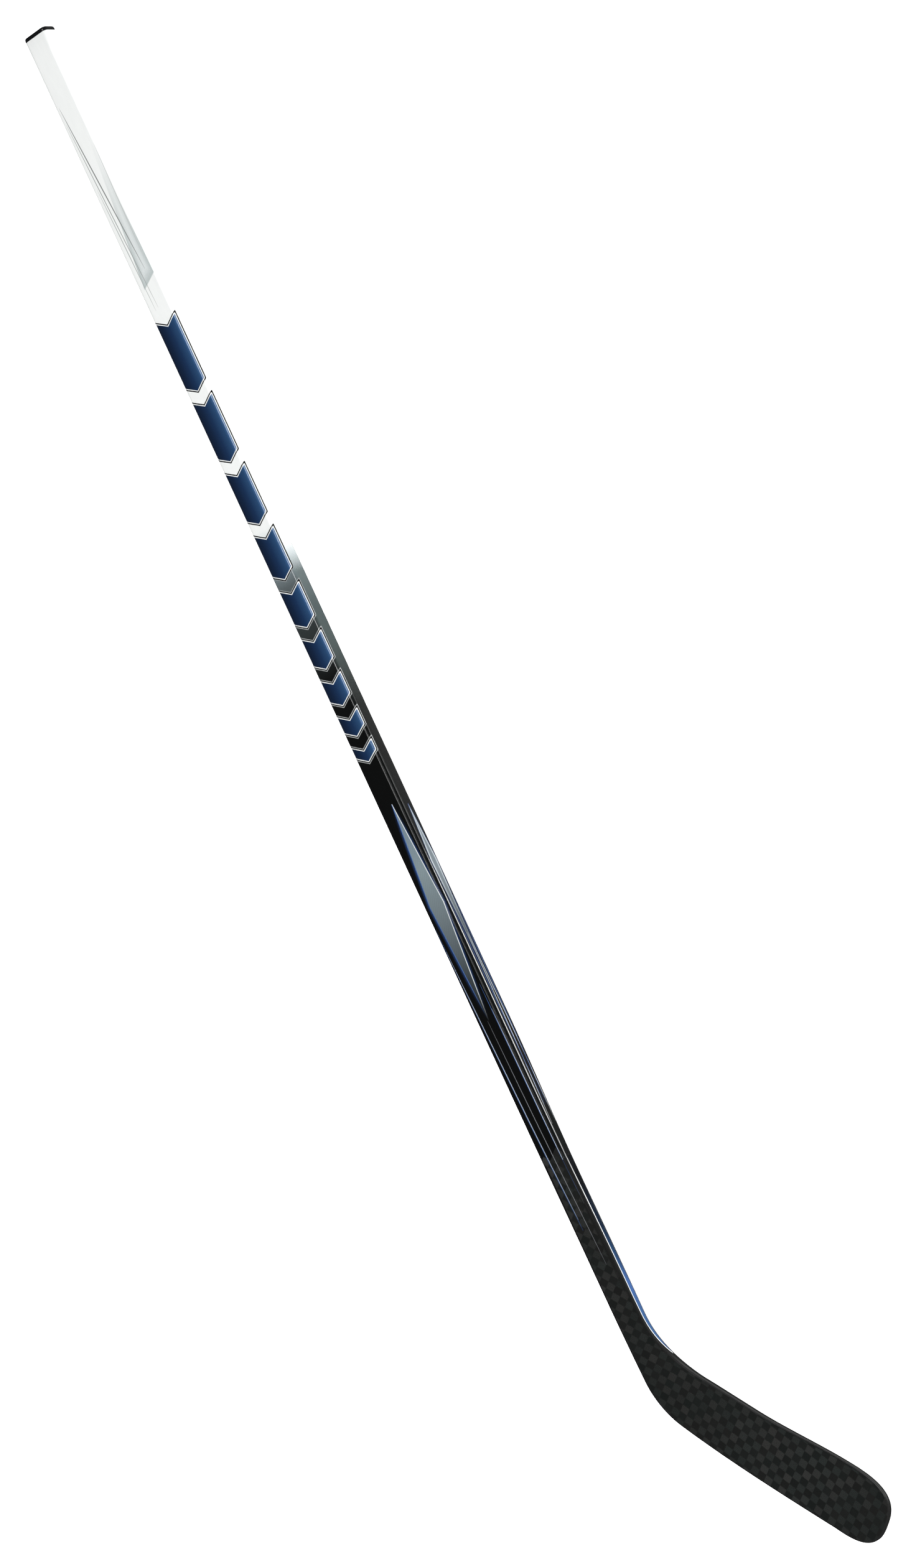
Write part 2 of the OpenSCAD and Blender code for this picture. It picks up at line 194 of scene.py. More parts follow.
def piece(name, pts, body, stands_for, mats, attrs=None, uv=None, shown=None, rows=1, caps=True, ring=False, sharp=35):
    """A loft as one closed mesh. pts is sections by points round each; attrs are values per point, uv a map per corner
    (sections by points + 1), shown the weight of each side's width on the bake's map, rows how often its length is folded."""
    n, m = pts.shape[:2]
    verts = (pts.reshape(-1, 3) - ORG) / 1000
    k, j = np.meshgrid(np.arange(n if ring else n - 1), np.arange(m), indexing="ij")
    k1, j1 = (k + 1) % n, (j + 1) % m
    quads = np.stack([k * m + j, k * m + j1, k1 * m + j1, k1 * m + j], -1).reshape(-1, 4)
    ends = []
    if caps:
        ends = [tuple(q) for q in strip_caps(m)]
        ends += [tuple(reversed([x + (n - 1) * m for x in q])) for q in strip_caps(m)]
        ends = [tuple(reversed(q)) for q in ends]
    faces = [tuple(int(x) for x in q) for q in quads] + ends
    # outward: the volume of the closed mesh is positive
    vol = 0.0
    a, b, c, d = (verts[quads[:, q]] for q in range(4))
    vol = (np.einsum("ij,ij->i", a, np.cross(b, c)) + np.einsum("ij,ij->i", a, np.cross(c, d))).sum()
    flip = vol < 0
    if flip:
        faces = [tuple(reversed(f)) for f in faces]
    me = bpy.data.meshes.new(name)
    me.from_pydata([tuple(v) for v in verts], [], faces)
    # the bake's map
    mid = pts[:, m // 4]
    along = run(np.concatenate([mid, mid[:1]])) if ring else run(pts.mean(1))
    if shown is None:
        shown = np.linalg.norm(np.diff(np.concatenate([pts[n // 2], pts[n // 2][:1]]), axis=0), axis=-1)
    width = np.concatenate([[0], np.cumsum(shown)])
    width = width / width[-1]
    count = len(quads)
    if ring:
        count_k = n
        split = np.minimum((np.arange(count_k) * rows) // count_k, rows - 1)
    else:
        count_k = n - 1
        split = np.minimum((0.5 * (along[:-1] + along[1:]) * rows / along[-1]).astype(int), rows - 1)
    bake = np.zeros((count, 4, 2))
    kk, jj = k.reshape(-1), j.reshape(-1)
    for r in range(rows):
        ks = np.nonzero(split == r)[0]
        if not len(ks):
            continue
        s0, s1 = along[ks[0]], along[min(ks[-1] + 1, len(along) - 1)] if not ring else along[-1]
        sel = np.isin(kk, ks)
        for q, (dk, dj) in enumerate(((0, 0), (0, 1), (1, 1), (1, 0))):
            s = along[np.minimum(kk[sel] + dk, len(along) - 1)]
            bake[sel, q, 0] = 0.004 + 0.992 * (s - s0) / max(s1 - s0, 1e-9)
            bake[sel, q, 1] = 0.97 * (r + 0.015 + 0.97 * width[jj[sel] + dj]) / rows
    bake = bake.reshape(-1, 2)
    if caps:
        h = m // 2 - 1
        extra = []
        for e in range(2):
            for i in range(h):
                x0, x1 = 0.02 + 0.5 * e + 0.46 * i / h, 0.02 + 0.5 * e + 0.46 * (i + 0.9) / h
                extra += [(x0, 0.975), (x1, 0.975), (x1, 0.995), (x0, 0.995)]
        bake = np.concatenate([bake, np.array(extra)])
    layer = me.uv_layers.new(name="OFBake")
    if flip:
        bake = bake.reshape(-1, 4, 2)[:, ::-1].reshape(-1, 2)
    layer.uv.foreach_set("vector", bake.astype(np.float32).ravel())
    if uv is not None:
        label, values = uv
        got = np.zeros((count, 4, 2))
        for q, (dk, dj) in enumerate(((0, 0), (0, 1), (1, 1), (1, 0))):
            got[:, q] = values[(kk + dk) % n, jj + dj]
        got = got.reshape(-1, 2)
        if caps:
            got = np.concatenate([got, np.zeros((4 * len(ends), 2))])
        if flip:
            got = got.reshape(-1, 4, 2)[:, ::-1].reshape(-1, 2)
        layer = me.uv_layers.new(name=label)
        layer.uv.foreach_set("vector", got.astype(np.float32).ravel())
    me.uv_layers.active = me.uv_layers["OFBake"]
    for label, values in (attrs or {}).items():
        at = me.attributes.new(label, "FLOAT_VECTOR", "POINT")
        at.data.foreach_set("vector", values.reshape(-1, 3).astype(np.float32).ravel())
    me.validate()
    for poly in me.polygons:
        poly.use_smooth = True
    me.set_sharp_from_angle(angle=math.radians(sharp))
    for mat in mats:
        me.materials.append(mat)
    ob = bpy.data.objects.new(name, me)
    bpy.context.scene.collection.objects.link(ob)
    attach(ob, body)
    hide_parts(*stands_for)
    return ob


def skin_points(side):
    """Outer and inner face of a skin, section by section, with the flat place of each point."""
    cols = np.linspace(0, 1, 23)
    inner, quarter = cols[::-1], np.linspace(0, 1, 5)
    loop = np.concatenate([cols, inner])
    depth = np.concatenate([0 * cols, 0 * inner + SKIN])
    crown = np.concatenate([16 * cols**2 * (1 - cols) ** 2, np.interp(inner, quarter, 4 * quarter * (1 - quarter))])
    pts, places = [], []

    def add(o, i, inset, half, bl):
        length = np.linalg.norm(i - o)
        d = (i - o) / length
        e = inset + (length - 2 * inset) * loop
        xy = o + e[:, None] * d
        pts.append(bent(xy, side * (half + bl * crown - depth)))
        places.append(np.concatenate([xy, 0 * xy[:, :1] - 20.0], -1))

    for q in range(len(st_o)):
        add(st_o[q], st_i[q], EDGE_W, st_f[q] if side > 0 else st_b[q], st_l[q])
    for q in range(1, NTOE + 1):
        add(flat(*toe_lo[q]), flat(*toe_hi[q]), 0.0, toe_h[q], toe_l[q])
    weights = np.concatenate([np.full(len(cols) - 1, 1.0), [0.5], np.full(len(inner) - 1, 0.22), [0.5]])
    return np.array(pts), np.array(places), weights


ARC = np.radians(np.linspace(0, 90, 9))


def rim_loop(f, b, r, w, c):
    """Round a band's section: distance in from the outline, height, and length round from the front corner.
    The rim stands c prouder in its middle than at its two corners."""
    e_front, e_back = np.linspace(w, r + c, 5)[:-1], np.linspace(r + c, w, 5)[1:]
    side_z = np.linspace(f - r, -b + r, 8)[1:-1]
    e = np.concatenate([[w], e_front, r * (1 - np.sin(ARC)), 0 * side_z, r * (1 - np.sin(ARC[::-1])), e_back, [w]])
    z = np.concatenate([[f - SKIN], 0 * e_front + f, f - r * (1 - np.cos(ARC)), side_z,
                        -b + r * (1 - np.cos(ARC[::-1])), 0 * e_back - b, [-b + SKIN]])
    e[5:-5] += c * ((2 * z[5:-5] - f + b) / (f + b)) ** 2
    around = np.concatenate([[r + c - w], r + c - e_front, r * ARC, r * math.pi / 2 + (f - r - side_z),
                             r * math.pi / 2 + (f + b - 2 * r) + r * ARC, r * math.pi + (f + b - 2 * r) + e_back - r - c,
                             [r * math.pi + f + b - 3 * r - c + w]])
    return e, z, around


def band_points(which):
    pts, places, more = [], [], []

    def add(o, d, f, b, r, w, c, place):
        e, z, around = rim_loop(f, b, r, w, c)
        xy = o + e[:, None] * d
        pts.append(bent(xy, z))
        places.append(np.concatenate([xy, around[:, None]], -1))
        more.append(np.stack([0 * e + place, 0 * e + (f + b - 2 * r + r * math.pi), z / max(f, 1e-6)], -1))

    if which == "toe":
        lo_n = len(toe_a)
        tip_lo, tip_hi = toe_lo[-1], toe_hi[-1]
        sides = [(np.stack(toe_uv(a, -1, 0.0), -1), toe_lo[q]) for q, a in enumerate(toe_a)]
        for t in np.linspace(0, 1, 9)[1:-1]:
            a = math.radians(9) * abs(1 - 2 * t)
            sides.append((np.stack(toe_uv(a, -1 if t < 0.5 else 1, 0.0), -1), tip_lo + (tip_hi - tip_lo) * t))
        sides += [(np.stack(toe_uv(toe_a[q], 1, 0.0), -1), toe_hi[q]) for q in range(lo_n - 1, -1, -1)]
        line = run(np.array([flat(*s[0]) for s in sides]))
        for (out, inn), place in zip(sides, line):
            o, i = flat(*out), flat(*inn)
            length = np.linalg.norm(i - o)
            h = edge(inn[0]) / 2
            add(o, (i - o) / length, h, h, EDGE_R, length, PROUD * edge(inn[0]) / edge(U_FAN), place)
    else:
        line = run(st_i if which == "top" else st_o)
        for q in range(len(st_o)):
            o, i = (st_i[q], st_o[q]) if which == "top" else (st_o[q], st_i[q])
            add(o, (i - o) / np.linalg.norm(i - o), st_f[q], st_b[q], st_r[q], EDGE_W, proud[q], line[q])
    pts, places, more = np.array(pts), np.array(places), np.array(more)
    return pts, places, more


def ring(x, o, arcs=10, wide=8, narrow=4):
    """Round the shaft, o inside its surface: place and unrolled length from the middle of the front face."""
    r = crn(x) - o
    f, b, y = front(x) - crn(x), back(x) - crn(x), HW - crn(x)
    th = np.radians(np.linspace(0, 90, arcs + 1))
    half = 0.5 * (f + b)
    seg = []
    wy, nz = np.linspace(0, y, wide // 2 + 1), np.linspace(f, -b, narrow + 1)
    p0, p1 = y, 22.85 - half
    seg.append((wy[:-1], 0 * wy[:-1] + f + r, wy[:-1]))
    seg.append((y + r * np.sin(th), f + r * np.cos(th), p0 + (p1 - p0) * th / th[-1]))
    seg.append((0 * nz[1:-1] + y + r, nz[1:-1], 22.85 + (f - half - nz[1:-1])))
    seg.append((y + r * np.cos(th), -b - r * np.sin(th), 45.7 - p1 + (p1 - p0) * th / th[-1]))
    full = np.linspace(y, -y, wide + 1)[1:-1]
    seg.append((full, 0 * full - b - r, 45.7 - full))
    seg.append((-y - r * np.sin(th), -b - r * np.cos(th), 45.7 + p0 + (p1 - p0) * th / th[-1]))
    seg.append((0 * nz[1:-1] - y - r, nz[::-1][1:-1], 68.55 + (nz[::-1][1:-1] - f + half)))
    seg.append((-y - r * np.cos(th), f + r * np.sin(th), 91.4 - p1 + (p1 - p0) * th / th[-1]))
    left = np.linspace(-y, 0, wide // 2 + 1)[1:-1]
    seg.append((left, 0 * left + f + r, 91.4 + left))
    yy, zz, pp = (np.concatenate([s[q] for s in seg]) for q in range(3))
    pts = np.stack([0 * yy + x, yy, zz], -1)
    return pts, np.concatenate([pp, [91.4]])


# ---------------------------------------------------------------- materials
class Mat:
    """A node material, built from small steps."""

    def __init__(self, name, **values):
        self.mat = bpy.data.materials.new(name)
        self.mat.use_nodes = True
        self.nt = self.mat.node_tree
        self.nt.nodes.clear()
        out = self.nt.nodes.new("ShaderNodeOutputMaterial")
        self.bsdf = self.nt.nodes.new("ShaderNodeBsdfPrincipled")
        self.nt.links.new(self.bsdf.outputs[0], out.inputs["Surface"])
        for key, value in values.items():
            self.bsdf.inputs[key.replace("_", " ")].default_value = value

    def put(self, socket, value):
        if isinstance(value, bpy.types.NodeSocket):
            self.nt.links.new(value, socket)
        else:
            socket.default_value = value

    def m(self, op, *xs, clamp=False):
        n = self.nt.nodes.new("ShaderNodeMath")
        n.operation, n.use_clamp = op, clamp
        for q, x in enumerate(xs):
            self.put(n.inputs[q], x)
        return n.outputs[0]

    def add(self, a, b):
        return self.m("ADD", a, b)

    def mul(self, a, b):
        return self.m("MULTIPLY", a, b)

    def mad(self, a, b, c):
        return self.m("MULTIPLY_ADD", a, b, c)

    def step(self, x, a, b, lo=0.0, hi=1.0):
        """Smooth step from lo at a to hi at b."""
        n = self.nt.nodes.new("ShaderNodeMapRange")
        n.interpolation_type = "SMOOTHSTEP"
        if isinstance(a, (int, float)) and isinstance(b, (int, float)) and a > b:
            a, b, lo, hi = b, a, hi, lo
        for q, v in enumerate((x, a, b, lo, hi)):
            self.put(n.inputs[q], v)
        return n.outputs[0]

    def lin(self, x, a, b, lo=0.0, hi=1.0):
        n = self.nt.nodes.new("ShaderNodeMapRange")
        for q, v in enumerate((x, a, b, lo, hi)):
            self.put(n.inputs[q], v)
        return n.outputs[0]

    def mix(self, fac, a, b, blend="MIX"):
        n = self.nt.nodes.new("ShaderNodeMix")
        n.data_type, n.blend_type = "RGBA", blend
        for q, v in ((0, fac), (6, a), (7, b)):
            if isinstance(v, (tuple, list)):
                v = (*v, 1.0)
            self.put(n.inputs[q], v)
        return n.outputs[2]

    def ramp(self, x, stops, smooth=False):
        n = self.nt.nodes.new("ShaderNodeValToRGB")
        n.color_ramp.interpolation = "EASE" if smooth else "LINEAR"
        el = n.color_ramp.elements
        while len(el) < len(stops):
            el.new(0.5)
        for e, (at, colour) in zip(el, stops):
            e.position = at
            e.color = (*colour, 1.0) if isinstance(colour, (tuple, list)) else (colour, colour, colour, 1.0)
        self.put(n.inputs[0], x)
        return n.outputs[0]

    def vec(self, x, y, z=0.0):
        n = self.nt.nodes.new("ShaderNodeCombineXYZ")
        for q, v in enumerate((x, y, z)):
            self.put(n.inputs[q], v)
        return n.outputs[0]

    def parts(self, vector):
        n = self.nt.nodes.new("ShaderNodeSeparateXYZ")
        self.put(n.inputs[0], vector)
        return n.outputs[0], n.outputs[1], n.outputs[2]

    def attr(self, name):
        n = self.nt.nodes.new("ShaderNodeAttribute")
        n.attribute_name = name
        return self.parts(n.outputs["Vector"])

    def uv(self, name):
        n = self.nt.nodes.new("ShaderNodeUVMap")
        n.uv_map = name
        return self.parts(n.outputs[0])[:2]

    def place(self):
        n = self.nt.nodes.new("ShaderNodeTexCoord")
        return n.outputs["Object"]

    def noise(self, vector, scale=1.0, detail=2.0, rough=0.5, dims="3D"):
        n = self.nt.nodes.new("ShaderNodeTexNoise")
        n.noise_dimensions = dims
        self.put(n.inputs["Vector"], vector)
        n.inputs["Scale"].default_value = scale
        n.inputs["Detail"].default_value = detail
        n.inputs["Roughness"].default_value = rough
        return n.outputs[0]

    def white(self, vector):
        n = self.nt.nodes.new("ShaderNodeTexWhiteNoise")
        n.noise_dimensions = "2D"
        self.put(n.inputs["Vector"], vector)
        return n.outputs[0]

    def bump(self, height, distance, strength=1.0):
        n = self.nt.nodes.new("ShaderNodeBump")
        n.inputs["Strength"].default_value = strength
        n.inputs["Distance"].default_value = distance
        self.put(n.inputs["Height"], height)
        return n.outputs[0]

    def set(self, **links):
        for key, value in links.items():
            self.put(self.bsdf.inputs[key.replace("_", " ")], value)
        return self.mat

    # -- patterns that more than one piece wears
    def weave(self, x, y, painted_sheen_strength=1.0):
        """Plain weave of wide flat tows: colour with a painted sheen on alternate squares, height of the crowns, and
        share of each square's shine.
        """
        ang, sa, sb = math.radians(42.26), 8.394, 8.163
        c, s = math.cos(ang), math.sin(ang)
        x0, y0 = 1560.0, 80.0
        a = self.mad(x, c / sa, self.mad(y, s / sa, 1.527 - (x0 * c + y0 * s) / sa))
        b = self.mad(x, s / sb, self.mad(y, -c / sb, 0.487 - (x0 * s - y0 * c) / sb))
        ia, ib = self.m("FLOOR", a), self.m("FLOOR", b)
        fa, fb = self.m("SUBTRACT", a, ia), self.m("SUBTRACT", b, ib)
        odd = self.m("FLOORED_MODULO", self.add(ia, ib), 2.0)
        up = self.m("COMPARE", odd, 0.0, 0.25)
        rnd = self.white(self.vec(ia, ib))
        rnd2 = self.white(self.vec(self.add(ib, 31.0), ia))
        # fine fibres run along whichever tow is on top
        n1 = self.noise(self.vec(self.mul(a, 1.3), self.mul(b, 38.0)), 1.0, 3.0, 0.6, "2D")
        n2 = self.noise(self.vec(self.mul(a, 38.0), self.mul(b, 1.3)), 1.0, 3.0, 0.6, "2D")
        fib = self.add(self.mul(n1, up), self.mul(n2, self.m("SUBTRACT", 1.0, up)))
        ea = self.m("PINGPONG", fa, 0.5)
        eb = self.m("PINGPONG", fb, 0.5)
        gap = self.step(self.m("MINIMUM", ea, eb), 0.0, 0.045)
        # painted sheen: squares whose top tow runs one way are coloured lighter, standing in for the sheen light draws
        # along those fibres
        light = self.mul(up, painted_sheen_strength)
        tone = self.mad(self.mul(light, self.mad(rnd2, 0.5, 0.75)), 1.15, 1.0)
        tone = self.mul(tone, self.mad(rnd, 0.22, 0.89))
        tone = self.mul(tone, self.mad(fib, 0.6, 0.70))
        tone = self.mul(tone, self.mad(gap, 0.14, 0.86))
        colour = self.mix(rnd2, (0.0091, 0.0107, 0.0102), (0.0103, 0.0104, 0.0100))
        colour = self.mix(1.0, colour, self.vec(tone, tone, tone), "MULTIPLY")
        # crowns: a tow dives under its neighbours at both ends of each square
        ca = self.m("SINE", self.mul(fa, math.pi))
        cb = self.m("SINE", self.mul(fb, math.pi))
        height = self.add(self.mul(ca, up), self.mul(cb, self.m("SUBTRACT", 1.0, up)))
        height = self.add(self.mad(fib, 0.25, height), self.mul(gap, 0.3))
        # middle of each square along the shaft, set on or back a little at random
        mid = self.mad(ia, c * sa, self.mad(ib, s * sb, x0 - (1.027 * c * sa - 0.013 * s * sb)))
        return colour, height, up, self.mad(rnd, 12.0, self.add(mid, -6.0))

    def line(self, x, p, x0, p0, x1, p1, half, bow=0.0, blur=0.25):
        """A thin line along the shaft, tapered to both ends."""
        t = self.lin(x, x0, x1)
        mid = self.mad(t, p1 - p0, p0)
        hump = self.mul(self.mul(t, self.m("SUBTRACT", 1.0, t)), 4.0)
        if bow:
            mid = self.mad(hump, bow, mid)
        off = self.m("ABSOLUTE", self.m("SUBTRACT", p, mid))
        width = self.mul(self.m("POWER", hump, 0.6), half)
        on = self.step(self.m("SUBTRACT", width, off), -blur, blur)
        return self.mul(on, self.m("GREATER_THAN", hump, 0.0005))


def pin_lines(mt, x, p):
    """The long pin lines that run from the black of the shaft out on the hosel: list of (mask, colour)."""
    return [
        (mt.line(x, p, 985, -12.2, 1322, -3.5, 0.55), (0.045, 0.10, 0.27)),
        (mt.line(x, p, 1010, -11.4, 1310, -3.2, 0.28), (0.50, 0.56, 0.62)),
        (mt.line(x, p, 1052, 9.0, 1286, 11.2, 0.5), (0.05, 0.11, 0.30)),
        (mt.line(x, p, 1080, 9.8, 1296, 11.6, 0.26), (0.60, 0.66, 0.70)),
        (mt.line(x, p, 1090, -1.0, 1362, 4.4, 0.30), (0.22, 0.23, 0.25)),
    ]


def paint_material(name):
    mt = Mat(name, Specular_IOR_Level=0.5)
    x, praw = mt.uv("unroll")
    p = mt.m("WRAP", praw, 22.85, -22.85)
    ap = mt.m("ABSOLUTE", p)
    nn = mt.m("SUBTRACT", 22.85, ap)
    here = mt.vec(x, praw)
    grain = mt.noise(here, 1.1, 2.0, 0.7, "2D")
    cloud = mt.noise(mt.vec(mt.mul(x, 0.05), mt.mul(praw, 0.16)), 1.0, 3.0, 0.55, "2D")
    xg = mt.add(x, mt.mad(grain, 12.0, -6.0))
    # white butt, grey fade, black
    t = mt.lin(xg, 530.0, 800.0)
    wide = mt.ramp(t, [(0.0, (0.800, 0.815, 0.806)), (0.07, (0.78, 0.80, 0.79)), (0.13, (0.50, 0.55, 0.56)),
                       (0.19, (0.23, 0.28, 0.30)), (0.30, (0.085, 0.102, 0.108)), (0.45, (0.028, 0.034, 0.035)),
                       (0.68, (0.0035, 0.0040, 0.0040)), (1.0, (0.0022, 0.0025, 0.0025))])
    narrow = mt.ramp(t, [(0.0, (0.84, 0.85, 0.845)), (0.13, (0.84, 0.85, 0.845)), (0.19, (0.52, 0.57, 0.58)),
                         (0.26, (0.115, 0.145, 0.148)), (0.40, (0.062, 0.084, 0.086)), (0.55, (0.055, 0.074, 0.073)),
                         (0.68, (0.028, 0.036, 0.035)), (0.80, (0.006, 0.0075, 0.0070)), (1.0, (0.0030, 0.0034, 0.0033))])
    on_side = mt.step(ap, 11.0, 17.0)
    colour = mt.mix(on_side, wide, narrow)
    soft = mt.mad(cloud, 0.05, 0.975)
    colour = mt.mix(1.0, colour, mt.vec(soft, soft, soft), "MULTIPLY")

    # silver wedge and two pin lines near the hands
    tw = mt.lin(x, 112.0, 286.0)
    low = mt.mad(tw, -16.0, 8.0)
    high = mt.mad(tw, 4.0, 8.5)
    inside = mt.m("MINIMUM", mt.m("SUBTRACT", p, low), mt.m("SUBTRACT", high, p))
    cut = mt.mul(mt.m("SUBTRACT", 276.0, mt.mad(p, 0.55, x)), 0.5)
    inside = mt.m("MINIMUM", inside, cut)
    wedge = mt.mul(mt.step(inside, -0.2, 0.5), mt.mul(mt.step(x, 112.0, 262.0), 0.93))
    silver = mt.mix(mt.mul(mt.step(inside, 0.0, 7.0), 1.0), (0.42, 0.47, 0.47), (0.62, 0.66, 0.66))
    silver = mt.mix(1.0, silver, mt.vec(*[mt.mad(grain, 0.35, 0.82)] * 3), "MULTIPLY")
    colour = mt.mix(wedge, colour, silver)
    for args, tone in (((78, -9.4, 262, 3.6, 0.62), 0.20), ((96, -9.8, 302, -1.2, 0.42), 0.27),
                       ((168, -8.8, 304, -5.4, 0.40), 0.34), ((128, 10.6, 250, 8.4, 0.30), 0.42)):
        colour = mt.mix(mt.line(x, p, *args), colour, (tone, tone * 1.04, tone * 1.04))

    # row of swept bars that shorten towards the blade
    q = mt.mad(ap, 0.62, x)
    gap, start = 14.0, 322.0
    found = None
    for length in (74, 64, 55, 47, 39, 32, 26, 20, 14):
        d = mt.m("MINIMUM", mt.m("SUBTRACT", q, start), mt.m("SUBTRACT", start + length, q))
        found = d if found is None else mt.m("MAXIMUM", found, d)
        start += length + gap
    d = mt.m("SMOOTH_MIN", mt.mul(found, 0.85), mt.m("SUBTRACT", 14.6, ap), 1.6)
    dark = mt.step(x, 560.0, 640.0)
    # across each bar the blue brightens towards the toe-side corner: partly the print's own gradient, partly painted
    # light, with its brightest end a painted sheen along that corner
    shade = mt.lin(p, -14.5, 14.5)
    blue = mt.ramp(shade, [(0.0, (0.0036, 0.0082, 0.020)), (0.28, (0.0050, 0.0138, 0.039)), (0.52, (0.0078, 0.0245, 0.072)),
                           (0.80, (0.018, 0.054, 0.130)), (1.0, (0.055, 0.135, 0.300))])
    blue = mt.mix(1.0, blue, mt.vec(*[mt.mad(grain, 0.3, 0.85)] * 3), "MULTIPLY")
    halo = mt.mul(mt.step(d, -1.5, -0.7), mt.mul(dark, 0.85))
    colour = mt.mix(halo, colour, (0.55, 0.57, 0.57))
    colour = mt.mix(mt.step(d, -0.75, -0.45), colour, (0.0040, 0.0042, 0.0045))
    colour = mt.mix(mt.step(d, 0.45, 0.75), colour, (0.74, 0.76, 0.76))
    colour = mt.mix(mt.step(d, 1.35, 1.65), colour, blue)

    # steel spear with a fine hatch, its blue glow and its two edge lines
    ts = mt.lin(x, 852.0, 1092.0)
    rise, fall = mt.mul(ts, 1 / 0.46), mt.mul(mt.m("SUBTRACT", 1.0, ts), 1 / 0.54)
    half = mt.mul(mt.m("MINIMUM", rise, fall), 9.0)
    mid = mt.mad(ts, -3.0, 3.4)
    off = mt.m("SUBTRACT", p, mid)
    depth = mt.m("SUBTRACT", half, mt.m("ABSOLUTE", off))
    ends = mt.mul(mt.m("GREATER_THAN", ts, 0.001), mt.m("LESS_THAN", ts, 0.999))
    glow = mt.mul(mt.mul(mt.step(depth, -3.6, 0.0), ends), mt.mul(mt.mul(mt.step(x, 852.0, 900.0), mt.step(x, 1088.0, 1020.0)), 0.55))
    colour = mt.mix(glow, colour, (0.022, 0.060, 0.190))
    hatch = mt.m("SINE", mt.mul(mt.add(mt.mul(x, 0.62), mt.mul(p, 1.0)), 2 * math.pi / 1.25))
    steel = mt.ramp(ts, [(0.0, (0.14, 0.20, 0.27)), (0.30, (0.21, 0.265, 0.285)), (0.55, (0.130, 0.16, 0.175)),
                         (0.80, (0.040, 0.049, 0.055)), (1.0, (0.010, 0.012, 0.013))])
    steel = mt.mix(1.0, steel, mt.vec(*[mt.mad(hatch, 0.13, 0.95)] * 3), "MULTIPLY")
    colour = mt.mix(mt.mul(mt.step(depth, -0.2, 0.2), ends), colour, steel)
    rim = mt.mul(mt.step(mt.m("ABSOLUTE", depth), 0.62, 0.28), ends)
    upper = mt.m("GREATER_THAN", off, 0.0)
    rim_colour = mt.mix(upper, (0.060, 0.125, 0.33), (0.66, 0.70, 0.71))
    colour = mt.mix(mt.mul(rim, mt.step(x, 1092.0, 1040.0)), colour, rim_colour)

    # narrow faces: a silver sliver and a thread of white
    tn = mt.lin(x, 858.0, 1064.0)
    half = mt.mul(mt.m("MINIMUM", mt.mul(tn, 1 / 0.30), mt.mul(mt.m("SUBTRACT", 1.0, tn), 1 / 0.70)), 5.2)
    sliver = mt.m("SUBTRACT", half, nn)
    on = mt.mul(mt.m("GREATER_THAN", tn, 0.001), mt.m("LESS_THAN", tn, 0.999))
    pale = mt.ramp(tn, [(0.0, (0.38, 0.43, 0.46)), (0.32, (0.54, 0.59, 0.61)), (0.62, (0.15, 0.18, 0.20)), (1.0, (0.04, 0.05, 0.06))])
    deep = mt.ramp(tn, [(0.0, (0.12, 0.15, 0.18)), (0.35, (0.175, 0.21, 0.235)), (0.7, (0.050, 0.060, 0.068)), (1.0, (0.010, 0.014, 0.020))])
    colour = mt.mix(mt.mul(mt.step(sliver, -1.6, 0.2), mt.mul(on, 0.7)), colour, (0.022, 0.060, 0.190))
    colour = mt.mix(mt.mul(mt.step(sliver, -0.2, 0.25), on), colour, mt.mix(mt.step(sliver, 0.2, 3.0), pale, deep))
    colour = mt.mix(mt.line(x, nn, 1000, 0.6, 1210, 4.0, 0.40), colour, (0.62, 0.66, 0.68))
    colour = mt.mix(mt.line(x, nn, 960, 5.6, 1190, 2.0, 0.50), colour, (0.045, 0.10, 0.28))
    # painted highlight: a pale line down both rounded corners of the black, where a side lamp's reflection runs along
    # the corner
    corner_highlight_at = mt.step(x, 1150.0, 1246.0, 15.8, 17.2)
    run_on = mt.mul(mt.step(x, 890.0, 960.0), mt.step(x, 1165.0, 1244.0, 0.9, 0.66))
    corner_highlight = mt.step(mt.m("ABSOLUTE", mt.m("SUBTRACT", ap, corner_highlight_at)), 0.62, 0.25)
    colour = mt.mix(mt.mul(corner_highlight, run_on), colour, (0.55, 0.56, 0.56))
    for mask, tone in pin_lines(mt, x, p):
        colour = mt.mix(mask, colour, tone)

    # the weave comes out of the black at the joint, square by square
    wc, wh, _, mid = mt.weave(x, p)
    bare = mt.step(mid, 1238.0, 1246.0)
    keep = mt.mul(mt.m("LESS_THAN", mt.parts(colour)[2], 0.02), mt.step(ap, 16.4, 14.4))
    colour = mt.mix(mt.mul(bare, keep), colour, wc)
    # surface: gloss over white and blue, fine fibre print in the black
    twill = mt.mul(mt.m("SINE", mt.mul(mt.add(x, p), math.pi)), mt.m("SINE", mt.mul(mt.m("SUBTRACT", x, p), math.pi)))
    black = mt.step(x, 700.0, 810.0)
    height = mt.add(mt.mul(mt.mul(twill, black), 1.7), mt.add(mt.mul(grain, 0.35), mt.mul(mt.mul(wh, bare), 0.8)))
    rough = mt.add(mt.mad(grain, 0.04, 0.15), mt.mul(bare, 0.13))
    return mt.set(Base_Color=colour, Roughness=rough, Normal=mt.bump(height, 0.00003, 0.7))


def painted_sheen_along_blade(mt, x, y):
    """The weave's painted sheen: its lighter squares stand out most in the middle of the blade."""
    u = mt.mad(x, CU, mt.mad(y, SU, HW * SU - LEN * CU))
    hosel = mt.step(u, -90.0, -20.0, 0.86, 0.66)
    return mt.mul(mt.m("MAXIMUM", hosel, mt.step(u, 30.0, 120.0, 0.66, 1.0)), mt.step(u, 170.0, 262.0, 1.0, 0.62))


